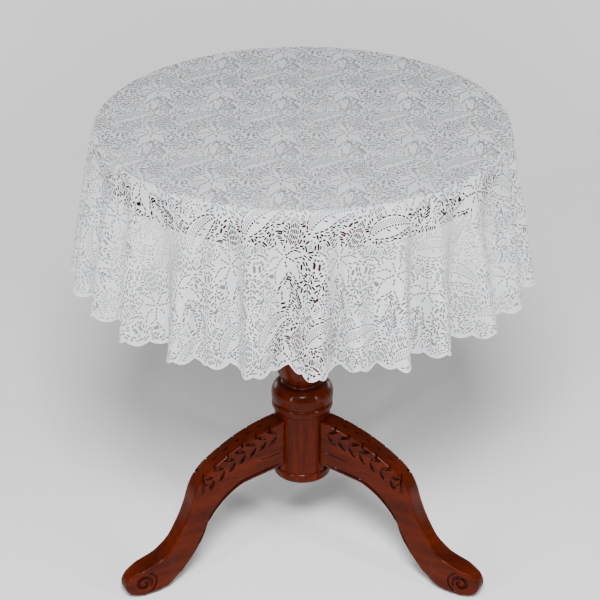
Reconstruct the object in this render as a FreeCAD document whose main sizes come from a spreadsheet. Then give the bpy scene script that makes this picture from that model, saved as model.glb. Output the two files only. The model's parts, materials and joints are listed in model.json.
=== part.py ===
import FreeCAD, Part
import math
import os
import re

import Sketcher

# A round lace tablecloth on a small pedestal table.
# Millimetres, +Z up. The origin is on the column's axis at the floor, and -Y is the front.
# A stone slab lies on a wooden ring and two crossed bearers. A turned column in three lengths
# stands on a tripod, and one steel rod through its middle pulls cap, shaft, collar, baluster and
# plate together. Each leg hangs in the shaft by a sliding dovetail that the base cap closes.

os.makedirs("parts", exist_ok=True)

doc = FreeCAD.newDocument("lace_covered_table")
sheet = doc.addObject("Spreadsheet::Sheet", "Sizes")

SIZES = [
    # the slab
    ("table_height", 730.0, "floor to the slab's upper face"),
    ("slab_radius", 300.0, "radius of the stone slab"),
    ("slab_thickness", 18.0, "thickness of the stone slab"),
    ("slab_edge_round", 4.0, "rounding of the slab's two edges"),
    ("pad_height", 1.0, "clear bumper between slab and ring"),
    ("pad_radius", 6.0, "radius of a bumper"),
    # the wooden ring and bearers under it
    ("ring_overhang", 10.0, "how far the slab stands out past the ring"),
    ("ring_width", 26.0, "radial width of the ring"),
    ("ring_height", 44.0, "height of the ring"),
    ("ring_edge_round", 6.0, "rounding of the ring's lower outer edge"),
    ("rail_width", 60.0, "width of a bearer"),
    ("rail_height", 30.0, "height of a bearer"),
    ("rail_seat", 12.0, "how far a bearer's end enters the ring"),
    ("rod_well_radius", 14.0, "well in the bearers' crossing for the nut"),
    ("rail_screw_radius", 2.2, "shank of a bearer screw"),
    ("rail_screw_bite", 4.0, "how far a bearer screw enters the ring"),
    ("rail_screw_head", 4.5, "radius of a bearer screw's countersunk head"),
    # the steel plate on the column
    ("plate_radius", 75.0, "radius of the column's steel plate"),
    ("plate_thickness", 4.0, "thickness of the steel plate"),
    ("plate_screw_circle", 60.0, "radius of the circle of plate screws"),
    ("plate_screw_radius", 2.4, "shank of a plate screw"),
    ("plate_screw_bite", 18.0, "depth of a plate screw's hole in the bearer"),
    ("plate_screw_head", 4.8, "radius of a plate screw's pan head"),
    ("plate_screw_head_height", 3.0, "height of a plate screw's pan head"),
    # the turned column
    ("cap_bottom", 134.0, "height of the base cap's lower face"),
    ("cap_lip", 1.5, "how far the base cap stands out past the shaft"),
    ("cap_thickness", 17.0, "thickness of the base cap"),
    ("cap_well_depth", 10.5, "depth of the well for the lower nut"),
    ("cap_well_radius", 14.0, "radius of the well for the lower nut"),
    ("shaft_radius", 43.5, "radius of the straight shaft"),
    ("shaft_length", 101.0, "length of the straight shaft"),
    ("spigot_radius", 14.0, "spigot on the shaft's head"),
    ("spigot_length", 32.0, "length of the spigot above the shaft"),
    ("collar_lip", 3.8, "how far the collar's bead stands out past the shaft"),
    ("collar_height", 14.5, "height of the collar"),
    ("torus_lip", 4.2, "how far the baluster's torus stands out past the shaft"),
    ("torus_height", 30.0, "height of the base torus"),
    ("neck_radius", 33.0, "neck above the torus"),
    ("neck_rise", 38.0, "height of the neck above the baluster's foot"),
    ("vase_radius", 50.0, "widest part of the vase"),
    ("vase_rise", 93.0, "height of the vase's widest part above the baluster's foot"),
    ("waist_radius", 27.0, "slimmest part of the upper column"),
    ("waist_drop", 118.0, "depth of the waist below the plate"),
    ("head_radius", 45.0, "flange under the plate"),
    ("head_height", 14.0, "height of that flange"),
    # the steel rod
    ("rod_radius", 4.0, "radius of the rod"),
    ("rod_bore_radius", 4.6, "bore for the rod through wood and steel"),
    ("nut_flats", 13.0, "nut, across its flats"),
    ("nut_height", 6.5, "height of a nut"),
    ("washer_radius", 12.0, "radius of a washer"),
    ("washer_thickness", 1.6, "thickness of a washer"),
    ("rod_stick_out", 2.0, "how far the rod stands out past a nut"),
    # the legs
    ("foot_reach", 319.0, "axis to the tip of the toe"),
    ("foot_height", 47.0, "top of the scroll above the floor"),
    ("foot_length", 32.0, "flat length of the sole"),
    ("leg_width", 35.0, "width of a leg at the column and knee"),
    ("ankle_width", 30.0, "width of a leg at its ankle"),
    ("toe_width", 36.0, "width of a leg at its scroll"),
    ("knee_reach", 157.0, "axis to the knee"),
    ("knee_height", 203.0, "height of the knee's upper edge"),
    ("leg_drop", 9.0, "upper edge of a leg's root below the collar"),
    ("leg_root_height", 80.0, "height of a leg where it meets the shaft"),
    ("tongue_depth", 14.0, "depth of the dovetail"),
    ("tongue_neck", 13.0, "width of the dovetail at the shaft's surface"),
    ("tongue_back", 20.0, "width of the dovetail at its back"),
    ("tongue_shoulder", 4.0, "head of the dovetail below the leg's upper edge"),
    # the glides
    ("glide_height", 4.0, "height of a glide"),
    ("glide_radius", 11.0, "radius of a glide"),
    ("glide_nail_radius", 1.3, "nail of a glide"),
    ("glide_nail_length", 16.0, "length of that nail in the foot"),
    # the cloth
    ("cloth_thickness", 1.2, "thickness of the lace"),
    ("cloth_drop", 233.0, "from the cloth's upper face to its hem"),
    ("cloth_flare", 48.0, "how far a fold stands out at the hem"),
    ("cloth_folds", 20.0, "number of folds round the table"),
    # clearances
    ("fit_clearance", 0.08, "wood on wood and steel in wood"),
    ("cloth_clearance", 0.4, "lace to slab"),
    ("cloth_side_clearance", 0.8, "lace to the slab's side"),
]
for row, (alias, value, note) in enumerate(SIZES, start=1):
    sheet.set(f"A{row}", alias)
    sheet.set(f"B{row}", str(value))
    sheet.setAlias(f"B{row}", alias)
    sheet.set(f"C{row}", note)
doc.recompute()


def size(expression):
    """The present value of an expression in the sheet's names."""
    return float(sheet.evalExpression(expression))


ALIASES = {row[0] for row in SIZES}


def bound(expression):
    """The same expression for another object, with the sheet named before each alias."""
    def named(word):
        return f"Sizes.{word[0]}" if word[0] in ALIASES else word[0]

    return re.sub(r"[a-z_]+", named, expression)

# Heights that several pieces share, as expressions of the sheet's names.
SLAB_UNDERSIDE = "(table_height - slab_thickness)"
RING_TOP = f"({SLAB_UNDERSIDE} - pad_height)"
RAIL_UNDERSIDE = f"({RING_TOP} - rail_height)"
COLUMN_TOP = f"({RAIL_UNDERSIDE} - plate_thickness)"
SHAFT_FOOT = "(cap_bottom + cap_thickness)"
COLLAR_FOOT = f"({SHAFT_FOOT} + shaft_length)"
BALUSTER_FOOT = f"({COLLAR_FOOT} + collar_height)"
RING_OUTSIDE = "(slab_radius - ring_overhang)"
RING_INSIDE = f"({RING_OUTSIDE} - ring_width)"

# How far a quarter-round edge stands off its chord, as a share of its radius.
ROUND_BULGE = "(1 - sqrt(0.5))"


def drive(thing, **expressions):
    """Bind properties to the sheet; a double underscore stands for a dot."""
    for name, expression in expressions.items():
        thing.setExpression(name.replace("__", "."), bound(expression))
    return thing


def cylinder(name, radius, height, bottom="0", x="0", y="0"):
    thing = doc.addObject("Part::Cylinder", name)
    return drive(thing, Radius=radius, Height=height, Placement__Base__x=x, Placement__Base__y=y,
                 Placement__Base__z=bottom)


def box(name, length, width, height, x, y, bottom):
    """A box centred on x and y that stands on the height 'bottom'."""
    thing = doc.addObject("Part::Box", name)
    return drive(thing, Length=length, Width=width, Height=height,
                 Placement__Base__x=f"{x} - ({length}) / 2", Placement__Base__y=f"{y} - ({width}) / 2",
                 Placement__Base__z=bottom)


def compound(name, things):
    group = doc.addObject("Part::Compound", name)
    group.Links = things
    return group


def cut(name, base, tools):
    """The base with every tool taken out of it, as one node."""
    waste = tools[0] if len(tools) == 1 else compound(name + "_waste", tools)
    result = doc.addObject("Part::Cut", name)
    result.Base = base
    result.Tool = waste
    return result


def origin_plane(body, role):
    return next(f for f in body.Origin.OriginFeatures if f.Role == role)


def draw(body, role, corners, lift="0"):
    """A closed outline on one of the body's origin planes.

    corners holds (x, y) or (x, y, bulge) in the sheet's names. The edge that follows a corner with
    a bulge is an arc that stands that far to the right of the straight line, or to the left of it
    when the bulge is negative.
    """
    sketch = body.newObject("Sketcher::SketchObject", body.Name + "_outline")
    sketch.AttachmentSupport = [(origin_plane(body, role), "")]
    sketch.MapMode = "FlatFace"
    sketch.setExpression("AttachmentOffset.Base.z", bound(lift))
    places = [FreeCAD.Vector(size(c[0]), size(c[1]), 0) for c in corners]
    for index, corner in enumerate(corners):
        start = places[index]
        end = places[(index + 1) % len(places)]
        if len(corner) == 2:
            sketch.addGeometry(Part.LineSegment(start, end), False)
            continue
        along = (end - start).normalize()
        middle = (start + end) / 2 + FreeCAD.Vector(along.y, -along.x, 0) * size(corner[2])
        sketch.addGeometry(Part.Arc(start, middle, end), False)
    ends = []
    for index, place in enumerate(places):
        forward = sketch.getPoint(index, 1).distanceToPoint(place) < 1e-6
        ends.append((1, 2) if forward else (2, 1))
    for index in range(len(corners)):
        following = (index + 1) % len(corners)
        sketch.addConstraint(Sketcher.Constraint("Coincident", index, ends[index][1],
                                                 following, ends[following][0]))
    for index, corner in enumerate(corners):
        for kind, expression in (("DistanceX", corner[0]), ("DistanceY", corner[1])):
            if expression == "0":
                axis = -2 if kind == "DistanceX" else -1
                sketch.addConstraint(Sketcher.Constraint("PointOnObject", index, ends[index][0], axis))
                continue
            number = sketch.addConstraint(
                Sketcher.Constraint(kind, index, ends[index][0], size(expression)))
            sketch.setExpression(f"Constraints[{number}]", bound(expression))
        if len(corner) == 3:
            after = corners[(index + 1) % len(corners)]
            chord = f"((({after[0]}) - ({corner[0]}))^2 + (({after[1]}) - ({corner[1]}))^2)"
            radius = f"{chord} / (8 * abs({corner[2]})) + abs({corner[2]}) / 2"
            number = sketch.addConstraint(Sketcher.Constraint("Radius", index, size(radius)))
            sketch.setExpression(f"Constraints[{number}]", bound(radius))
    return sketch


def turned(name, corners):
    """A piece turned on the lathe: an outline in the XZ plane, spun about the Z axis."""
    body = doc.addObject("PartDesign::Body", name)
    spin = body.newObject("PartDesign::Revolution", name + "_turning")
    spin.Profile = draw(body, "XZ_Plane", corners)
    spin.ReferenceAxis = (next(f for f in body.Origin.OriginFeatures if f.Role == "Z_Axis"), [""])
    spin.Angle = 360
    return body


def screw(name, shank, length, head, head_height, x, y, seat, flat_head, turned_over):
    """A plain screw: its head sits at the height 'seat' and its shank runs up, or down when turned over."""
    part_of = doc.addObject("Part::Cylinder", name + "_shank")
    top = doc.addObject("Part::Cone", name + "_head")
    way = "-1" if turned_over else "1"
    drive(part_of, Radius=shank, Height=length, Placement__Base__x=x, Placement__Base__y=y)
    drive(top, Height=head_height, Placement__Base__x=x, Placement__Base__y=y)
    if turned_over:
        drive(part_of, Placement__Base__z=f"{seat} - ({length})")
        drive(top, Placement__Base__z=f"{seat} - ({head_height})", Radius1=shank, Radius2=head)
    else:
        drive(part_of, Placement__Base__z=seat)
        drive(top, Placement__Base__z=f"{seat} - ({head_height})", Radius1=flat_head, Radius2=head)
    whole = doc.addObject("Part::Fuse", name)
    whole.Base = part_of
    whole.Tool = top
    return whole


nodes = []


def keep(node, label):
    """Name a finished piece; the label names its file too."""
    node.Label = label
    nodes.append(node)
    return node


def compass(radius, turn):
    """A place on a circle about the column, as x and y expressions."""
    return f"({radius}) * cos({turn})", f"({radius}) * sin({turn})"


# ---------------------------------------------------------------- stone top and its bumpers
keep(turned("slab", [
    ("0", SLAB_UNDERSIDE),
    ("slab_radius - slab_edge_round", SLAB_UNDERSIDE, f"slab_edge_round * {ROUND_BULGE}"),
    ("slab_radius", f"{SLAB_UNDERSIDE} + slab_edge_round"),
    ("slab_radius", "table_height - slab_edge_round", f"slab_edge_round * {ROUND_BULGE}"),
    ("slab_radius - slab_edge_round", "table_height"),
    ("0", "table_height"),
]), "stone_top")

pads = []
PAD_COUNT = 6
for number in range(PAD_COUNT):
    x, y = compass(f"{RING_OUTSIDE} - ring_width / 2", 30 + 360 / PAD_COUNT * number)
    pads.append(cylinder(f"pad_{number}", "pad_radius", "pad_height", RING_TOP, x, y))
keep(compound("pads", pads), "slab_pads")

# ---------------------------------------------------------------- ring and crossed bearers
RAIL_LENGTH = f"(2 * ({RING_INSIDE} + rail_seat))"
SEAT_LENGTH = f"({RAIL_LENGTH} + 2 * fit_clearance)"
RAIL_SCREW_PLACE = f"({RING_INSIDE} + rail_seat / 2)"
RAIL_HEAD_HEIGHT = "(rail_screw_head - rail_screw_radius)"
QUARTERS = (0, 90, 180, 270)

ring_blank = turned("ring_blank", [
    (RING_INSIDE, f"{RING_TOP} - ring_height"),
    (f"{RING_OUTSIDE} - ring_edge_round", f"{RING_TOP} - ring_height",
     f"ring_edge_round * {ROUND_BULGE}"),
    (RING_OUTSIDE, f"{RING_TOP} - ring_height + ring_edge_round"),
    (RING_OUTSIDE, RING_TOP),
    (RING_INSIDE, RING_TOP),
])
ring_waste = [
    box("seat_along_x", SEAT_LENGTH, "rail_width + 2 * fit_clearance", "rail_height + fit_clearance",
        "0", "0", f"{RAIL_UNDERSIDE} - fit_clearance"),
    box("seat_along_y", "rail_width + 2 * fit_clearance", SEAT_LENGTH, "rail_height + fit_clearance",
        "0", "0", f"{RAIL_UNDERSIDE} - fit_clearance"),
]
PILOT_RADIUS = "rail_screw_radius + fit_clearance"
PILOT_DEPTH = "(rail_screw_bite + 1)"
for turn in QUARTERS:
    x, y = compass(RAIL_SCREW_PLACE, turn)
    ring_waste.append(cylinder(f"ring_pilot_{turn}", PILOT_RADIUS, f"{PILOT_DEPTH} + 1",
                               f"{RAIL_UNDERSIDE} - {PILOT_DEPTH}", x, y))
keep(cut("ring", ring_blank, ring_waste), "apron_ring")

HALF_LAP = "(rail_height / 2)"
LAP_WIDTH = "(rail_width + 2 * fit_clearance)"


def bearer(name, length, width, lap_bottom, turns):
    """A straight bearer with half its height taken out where it crosses the other one."""
    blank = box(name + "_blank", length, width, "rail_height", "0", "0", RAIL_UNDERSIDE)
    waste = [
        box(name + "_lap", LAP_WIDTH, LAP_WIDTH, f"{HALF_LAP} + fit_clearance", "0", "0", lap_bottom),
        cylinder(name + "_well", "rod_well_radius", "rail_height + 2", f"{RAIL_UNDERSIDE} - 1"),
    ]
    for turn in turns:
        x, y = compass(RAIL_SCREW_PLACE, turn)
        waste.append(cylinder(f"{name}_hole_{turn}", PILOT_RADIUS, "rail_height + 2",
                              f"{RAIL_UNDERSIDE} - 1", x, y))
        sink = doc.addObject("Part::Cone", f"{name}_sink_{turn}")
        waste.append(drive(sink, Radius1=PILOT_RADIUS, Radius2="rail_screw_head + fit_clearance",
                           Height=RAIL_HEAD_HEIGHT, Placement__Base__x=x, Placement__Base__y=y,
                           Placement__Base__z=f"{RING_TOP} - {RAIL_HEAD_HEIGHT}"))
        x, y = compass("plate_screw_circle", turn)
        waste.append(cylinder(f"{name}_pilot_{turn}", "plate_screw_radius + fit_clearance",
                              "plate_screw_bite", RAIL_UNDERSIDE, x, y))
    return cut(name, blank, waste)


keep(bearer("bearer_x", RAIL_LENGTH, "rail_width", f"{RAIL_UNDERSIDE} + {HALF_LAP} - fit_clearance",
            (0, 180)), "rail_long")
keep(bearer("bearer_y", "rail_width", RAIL_LENGTH, RAIL_UNDERSIDE, (90, 270)), "rail_short")

rail_screws = []
for turn in QUARTERS:
    x, y = compass(RAIL_SCREW_PLACE, turn)
    rail_screws.append(screw(f"rail_screw_{turn}", "rail_screw_radius", "rail_height + rail_screw_bite",
                             "rail_screw_head", RAIL_HEAD_HEIGHT, x, y, RING_TOP,
                             "rail_screw_head", True))
keep(compound("bearer_screws", rail_screws), "rail_screws")

# ---------------------------------------------------------------- steel plate and its screws
plate_blank = cylinder("plate_blank", "plate_radius", "plate_thickness", COLUMN_TOP)
plate_waste = [cylinder("plate_bore", "rod_bore_radius", "plate_thickness + 2", f"{COLUMN_TOP} - 1")]
plate_screws = []
for turn in QUARTERS:
    x, y = compass("plate_screw_circle", turn)
    plate_waste.append(cylinder(f"plate_hole_{turn}", "plate_screw_radius + fit_clearance",
                                "plate_thickness + 2", f"{COLUMN_TOP} - 1", x, y))
    plate_screws.append(screw(f"plate_screw_{turn}", "plate_screw_radius", "plate_thickness + plate_screw_bite - 1",
                              "plate_screw_head", "plate_screw_head_height", x, y, COLUMN_TOP,
                              "plate_screw_head - 1", False))
keep(cut("plate", plate_blank, plate_waste), "top_plate")
keep(compound("plate_fixings", plate_screws), "plate_screws")

# ---------------------------------------------------------------- turned column
CAP_RADIUS = "(shaft_radius + cap_lip)"
COLLAR_RADIUS = "(shaft_radius + collar_lip)"
TORUS_RADIUS = "(shaft_radius + torus_lip)"
SOCKET_RADIUS = "(spigot_radius + fit_clearance)"
SPIGOT_TOP = f"({COLLAR_FOOT} + spigot_length)"
CAP_ROUND = "(cap_thickness * 0.3)"

keep(turned("cap", [
    ("cap_well_radius", "cap_bottom"),
    (f"{CAP_RADIUS} - {CAP_ROUND}", "cap_bottom", f"{CAP_ROUND} * {ROUND_BULGE}"),
    (CAP_RADIUS, f"cap_bottom + {CAP_ROUND}"),
    (CAP_RADIUS, f"{SHAFT_FOOT} - {CAP_ROUND}", f"{CAP_ROUND} * {ROUND_BULGE}"),
    (f"{CAP_RADIUS} - {CAP_ROUND}", SHAFT_FOOT),
    ("rod_bore_radius", SHAFT_FOOT),
    ("rod_bore_radius", "cap_bottom + cap_well_depth"),
    ("cap_well_radius", "cap_bottom + cap_well_depth"),
]), "base_cap")

shaft_turning = turned("shaft_turning", [
    ("rod_bore_radius", SHAFT_FOOT),
    ("shaft_radius", SHAFT_FOOT),
    ("shaft_radius", COLLAR_FOOT),
    ("spigot_radius", COLLAR_FOOT),
    ("spigot_radius", SPIGOT_TOP),
    ("rod_bore_radius", SPIGOT_TOP),
])

keep(turned("collar", [
    (SOCKET_RADIUS, COLLAR_FOOT),
    (f"{COLLAR_RADIUS} - collar_height * 0.2", COLLAR_FOOT, "collar_height * 0.08"),
    (COLLAR_RADIUS, f"{COLLAR_FOOT} + collar_height * 0.5", "collar_height * 0.08"),
    (f"{COLLAR_RADIUS} - collar_height * 0.2", BALUSTER_FOOT),
    (SOCKET_RADIUS, BALUSTER_FOOT),
]), "column_collar")

TORUS_TOP = f"({BALUSTER_FOOT} + torus_height)"
NECK = f"({BALUSTER_FOOT} + neck_rise)"
VASE = f"({BALUSTER_FOOT} + vase_rise)"
WAIST = f"({COLUMN_TOP} - waist_drop)"
HEAD_FOOT = f"({COLUMN_TOP} - head_height)"
TORUS_FOOT_INSET = f"({TORUS_RADIUS} - torus_height * 0.07)"
TORUS_TOP_INSET = f"({TORUS_RADIUS} - torus_height * 0.34)"
VASE_MIDDLE = f"(({VASE} + {WAIST}) / 2)"
MIDDLE_RADIUS = "((vase_radius + waist_radius) / 2)"
SOCKET_TOP = f"({SPIGOT_TOP} + 1)"
keep(turned("baluster", [
    (SOCKET_RADIUS, BALUSTER_FOOT),
    (TORUS_FOOT_INSET, BALUSTER_FOOT, "torus_height * 0.03"),
    (TORUS_RADIUS, f"{BALUSTER_FOOT} + torus_height * 0.28", "torus_height * 0.13"),
    (TORUS_TOP_INSET, TORUS_TOP),
    ("neck_radius", f"{TORUS_TOP} + 2", "-1.5"),
    ("neck_radius", NECK, "3"),
    ("vase_radius", VASE, "6"),
    (MIDDLE_RADIUS, VASE_MIDDLE, "-6"),
    ("waist_radius", WAIST),
    ("waist_radius + 6", f"{WAIST} + 4", "4"),
    ("waist_radius + 6", f"{WAIST} + 14"),
    ("waist_radius + 1", f"{WAIST} + 18", "-8"),
    ("head_radius - 6", HEAD_FOOT),
    ("head_radius", HEAD_FOOT, "3"),
    ("head_radius", COLUMN_TOP),
    ("rod_bore_radius", COLUMN_TOP),
    ("rod_bore_radius", SOCKET_TOP),
    (SOCKET_RADIUS, SOCKET_TOP),
]), "column_baluster")

# ---------------------------------------------------------------- rod, nuts and washers
WELL_FLOOR = "(cap_bottom + cap_well_depth)"
keep(cylinder("rod", "rod_radius",
              f"{RAIL_UNDERSIDE} - {WELL_FLOOR} + 2 * (washer_thickness + nut_height + rod_stick_out)",
              f"{WELL_FLOOR} - washer_thickness - nut_height - rod_stick_out"), "tie_rod")


def washer(name, bottom):
    blank = cylinder(name + "_blank", "washer_radius", "washer_thickness", bottom)
    hole = cylinder(name + "_hole", "rod_bore_radius", "washer_thickness + 2", f"{bottom} - 1")
    return cut(name, blank, [hole])


def nut(name, bottom):
    blank = doc.addObject("Part::Prism", name + "_blank")
    blank.Polygon = 6
    drive(blank, Circumradius="nut_flats / sqrt(3)", Height="nut_height", Placement__Base__z=bottom)
    hole = cylinder(name + "_hole", "rod_radius + fit_clearance", "nut_height + 2", f"{bottom} - 1")
    return cut(name, blank, [hole])


keep(washer("upper_washer", RAIL_UNDERSIDE), "tie_washer_top")
keep(nut("upper_nut", f"{RAIL_UNDERSIDE} + washer_thickness"), "tie_nut_top")
keep(washer("lower_washer", f"{WELL_FLOOR} - washer_thickness"), "tie_washer_bottom")
keep(nut("lower_nut", f"{WELL_FLOOR} - washer_thickness - nut_height"), "tie_nut_bottom")

# ---------------------------------------------------------------- three legs
# Each leg is drawn along +X and then turned about the column. Its side outline is sawn from a
# plank, its faces are thinned towards the ankle, its root is hollowed to the round shaft, and a
# dovetail tongue stands out behind the root.
LEG_ROOT_TOP = f"({COLLAR_FOOT} - leg_drop)"
LEG_ROOT_FOOT = f"({LEG_ROOT_TOP} - leg_root_height)"
ROOT_DEPTH = "(shaft_radius - tongue_depth)"
SOLE_START = "(foot_reach - 51)"
SIDE_OUTLINE = [
    (ROOT_DEPTH, LEG_ROOT_TOP),
    (ROOT_DEPTH, LEG_ROOT_FOOT),
    ("shaft_radius", LEG_ROOT_FOOT),
    ("knee_reach - 43", "knee_height - 50", "-7"),
    ("foot_reach - 142", "foot_height + 52", "4"),
    ("foot_reach - 103", "foot_height - 13", "6.5"),
    (SOLE_START, "glide_height"),
    (f"{SOLE_START} + foot_length", "glide_height", "5.5"),
    ("foot_reach", "foot_height - 21", "4.5"),
    ("foot_reach - 19", "foot_height"),
    ("foot_reach - 51", "foot_height + 9", "-4"),
    ("foot_reach - 85", "foot_height + 35", "-3.5"),
    ("knee_reach + 44", "knee_height - 55", "7.5"),
    ("knee_reach", "knee_height", "6.5"),
    ("shaft_radius", LEG_ROOT_TOP),
]
THINNING = "((leg_width - ankle_width) / 2)"
ANKLE_REACH = "(foot_reach - 85)"
FACE_OUTLINE = [
    ("knee_reach", "leg_width / 2", f"-{THINNING} * 0.3"),
    (ANKLE_REACH, "ankle_width / 2", "-3"),
    ("foot_reach - 28", "toe_width / 2", "2"),
    ("foot_reach + 5", "toe_width / 2 - 6"),
    ("foot_reach + 5", "leg_width"),
    ("knee_reach", "leg_width"),
]


def leg(name, turn):
    body = doc.addObject("PartDesign::Body", name)
    plank = body.newObject("PartDesign::Pad", name + "_plank")
    plank.Profile = draw(body, "XZ_Plane", SIDE_OUTLINE)
    plank.Midplane = True
    drive(plank, Length="leg_width")
    before_thinning = volume(body)
    thinned = body.newObject("PartDesign::Pocket", name + "_thinned")
    thinned.Profile = draw(body, "XY_Plane", FACE_OUTLINE)
    thinned.Reversed = True
    drive(thinned, Length="table_height")
    other_face = body.newObject("PartDesign::Mirrored", name + "_other_face")
    other_face.Originals = [thinned]
    other_face.MirrorPlane = (origin_plane(body, "XZ_Plane"), [""])
    body.Tip = other_face
    if not volume(body) < before_thinning:
        raise SystemExit(f"{name}: thinning the faces took nothing off")
    hollow = cylinder(name + "_hollow", "shaft_radius + fit_clearance", "table_height")
    root = cut(name + "_root", body, [hollow])
    tongue = dovetail(name + "_tongue", "0", LEG_ROOT_FOOT, "leg_root_height - tongue_shoulder", "4")
    joined = doc.addObject("Part::Fuse", name + "_joined")
    joined.Base = root
    joined.Tool = tongue
    x, y = compass(SOLE_MIDDLE, 0)
    nail_hole = cylinder(name + "_nail_hole", "glide_nail_radius + fit_clearance",
                         "glide_nail_length + 1", "glide_height", x, y)
    whole = cut(name + "_whole", joined, [nail_hole])
    whole.Placement = FreeCAD.Placement(FreeCAD.Vector(), FreeCAD.Vector(0, 0, 1), turn)
    return whole


def volume(thing):
    doc.recompute()
    return thing.Shape.Volume


def dovetail(name, clearance, bottom, height, into_leg):
    """A key along +X, narrow at the shaft's surface and wide at its back."""
    body = doc.addObject("PartDesign::Body", name)
    key = body.newObject("PartDesign::Pad", name + "_key")
    back = f"shaft_radius - tongue_depth - {clearance}"
    key.Profile = draw(body, "XY_Plane", [
        (back, f"-tongue_back / 2 - {clearance}"),
        ("shaft_radius", f"-tongue_neck / 2 - {clearance}"),
        (f"shaft_radius + {into_leg}", f"-tongue_neck / 2 - {clearance}"),
        (f"shaft_radius + {into_leg}", f"tongue_neck / 2 + {clearance}"),
        ("shaft_radius", f"tongue_neck / 2 + {clearance}"),
        (back, f"tongue_back / 2 + {clearance}"),
    ], bottom)
    drive(key, Length=height)
    return body


SOLE_MIDDLE = f"({SOLE_START} + foot_length / 2)"
LEG_TURNS = {"left": -150, "right": -30, "rear": 90}
for side, turn in LEG_TURNS.items():
    keep(leg(f"{side}_leg", turn), f"leg_{side}")

sockets = []
for side, turn in LEG_TURNS.items():
    socket = dovetail(f"socket_{side}", "fit_clearance", f"{SHAFT_FOOT} - 1",
                      "shaft_length + 1 - leg_drop - tongue_shoulder + fit_clearance", "4")
    socket.Placement = FreeCAD.Placement(FreeCAD.Vector(), FreeCAD.Vector(0, 0, 1), turn)
    sockets.append(socket)
keep(cut("shaft", shaft_turning, sockets), "column_shaft")

# ---------------------------------------------------------------- nail-on glides
for side, turn in LEG_TURNS.items():
    x, y = compass(SOLE_MIDDLE, turn)
    disc = doc.addObject("Part::Cone", f"glide_{side}_disc")
    drive(disc, Radius1="glide_radius - 2", Radius2="glide_radius", Height="glide_height",
          Placement__Base__x=x, Placement__Base__y=y)
    nail = cylinder(f"glide_{side}_nail", "glide_nail_radius", "glide_nail_length",
                    "glide_height - 0.5", x, y)
    glide = doc.addObject("Part::Fuse", f"glide_{side}")
    glide.Base = disc
    glide.Tool = nail
    keep(glide, f"foot_glide_{side}")

# ---------------------------------------------------------------- lace cloth
# One thin closed shell: flat over the slab, rounded over its edge, and fluted in folds that
# grow from nothing at the edge to their full depth at the hem.
CLOTH_TOP = size("table_height + cloth_clearance + cloth_thickness")
CLOTH_SIDE = size("slab_radius + cloth_side_clearance + cloth_thickness")
EDGE_ROUND = size("slab_edge_round")
FOLDS = int(size("cloth_folds"))
POINTS_PER_FOLD = 6
FOLD_GROWTH = 0.8
LEVELS = (0.0, 0.08, 0.22, 0.4, 0.6, 0.8, 1.0)


def fluted_outline(share, inset):
    """The cloth's outline a share of the way down to the hem, drawn inwards by inset."""
    swell = size("cloth_flare") * (max(0.0, share - LEVELS[1]) / (1 - LEVELS[1])) ** FOLD_GROWTH
    points = []
    for step in range(FOLDS * POINTS_PER_FOLD):
        turn = 2 * math.pi * step / (FOLDS * POINTS_PER_FOLD)
        radius = CLOTH_SIDE + swell * (0.5 + 0.5 * math.cos(FOLDS * turn))
        slope = -swell * 0.5 * FOLDS * math.sin(FOLDS * turn)
        length = math.hypot(radius, slope)
        out, around = radius / length, -slope / length
        x, y = radius - inset * out, -inset * around
        points.append(FreeCAD.Vector(x * math.cos(turn) - y * math.sin(turn),
                                     x * math.sin(turn) + y * math.cos(turn),
                                     CLOTH_TOP - size("cloth_drop") * share))
    evenly = [step / len(points) for step in range(len(points) + 1)]
    curve = Part.BSplineCurve()
    curve.interpolate(Points=points, PeriodicFlag=True, Parameters=evenly)
    folds = []
    for fold in range(FOLDS):
        one = curve.copy()
        one.segment(fold / FOLDS, (fold + 1) / FOLDS)
        folds.append(one.toShape())
    return Part.Wire(folds)


def fluted_solid(inset, top, bottom_extra):
    """The space under the cloth's outer face, or under its inner face with an inset."""
    wires = [fluted_outline(share, inset) for share in LEVELS]
    wires[0].translate(FreeCAD.Vector(0, 0, top - CLOTH_TOP))
    wires[-1].translate(FreeCAD.Vector(0, 0, -bottom_extra))
    solid = Part.makeLoft(wires, True, True)
    rim = [edge for edge in solid.Edges if abs(edge.BoundBox.ZMin - top) < 1e-3]
    return solid.makeFillet(EDGE_ROUND - inset, rim)


outside = fluted_solid(0.0, CLOTH_TOP, 0.0)
inside = fluted_solid(size("cloth_thickness"), CLOTH_TOP - size("cloth_thickness"), 1.0)
cloth = doc.addObject("Part::Feature", "cloth")
cloth.Shape = outside.cut(inside)
keep(cloth, "lace_cloth")

# ---------------------------------------------------------------- check and write
doc.recompute()
for thing in doc.Objects:
    if "Invalid" in thing.State or "Error" in thing.State:
        raise SystemExit(f"{thing.Name} failed: {thing.State}")
for node in nodes:
    shape = node.Shape
    if shape.isNull() or not shape.isValid() or not shape.Solids:
        raise SystemExit(f"{node.Label} has no valid solid")
for node in nodes:
    node.Shape.exportStep(f"parts/{node.Label}.step")
    shape = node.Shape
    print(f"{node.Label:20s} solids {len(shape.Solids)}  volume {shape.Volume / 1000:10.2f} cm3  "
          f"z {shape.BoundBox.ZMin:.1f} to {shape.BoundBox.ZMax:.1f}")
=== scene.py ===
import json
import math

import bmesh
import bpy
import numpy as np
from mathutils import Matrix, Vector
from mathutils.geometry import delaunay_2d_cdt

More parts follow.
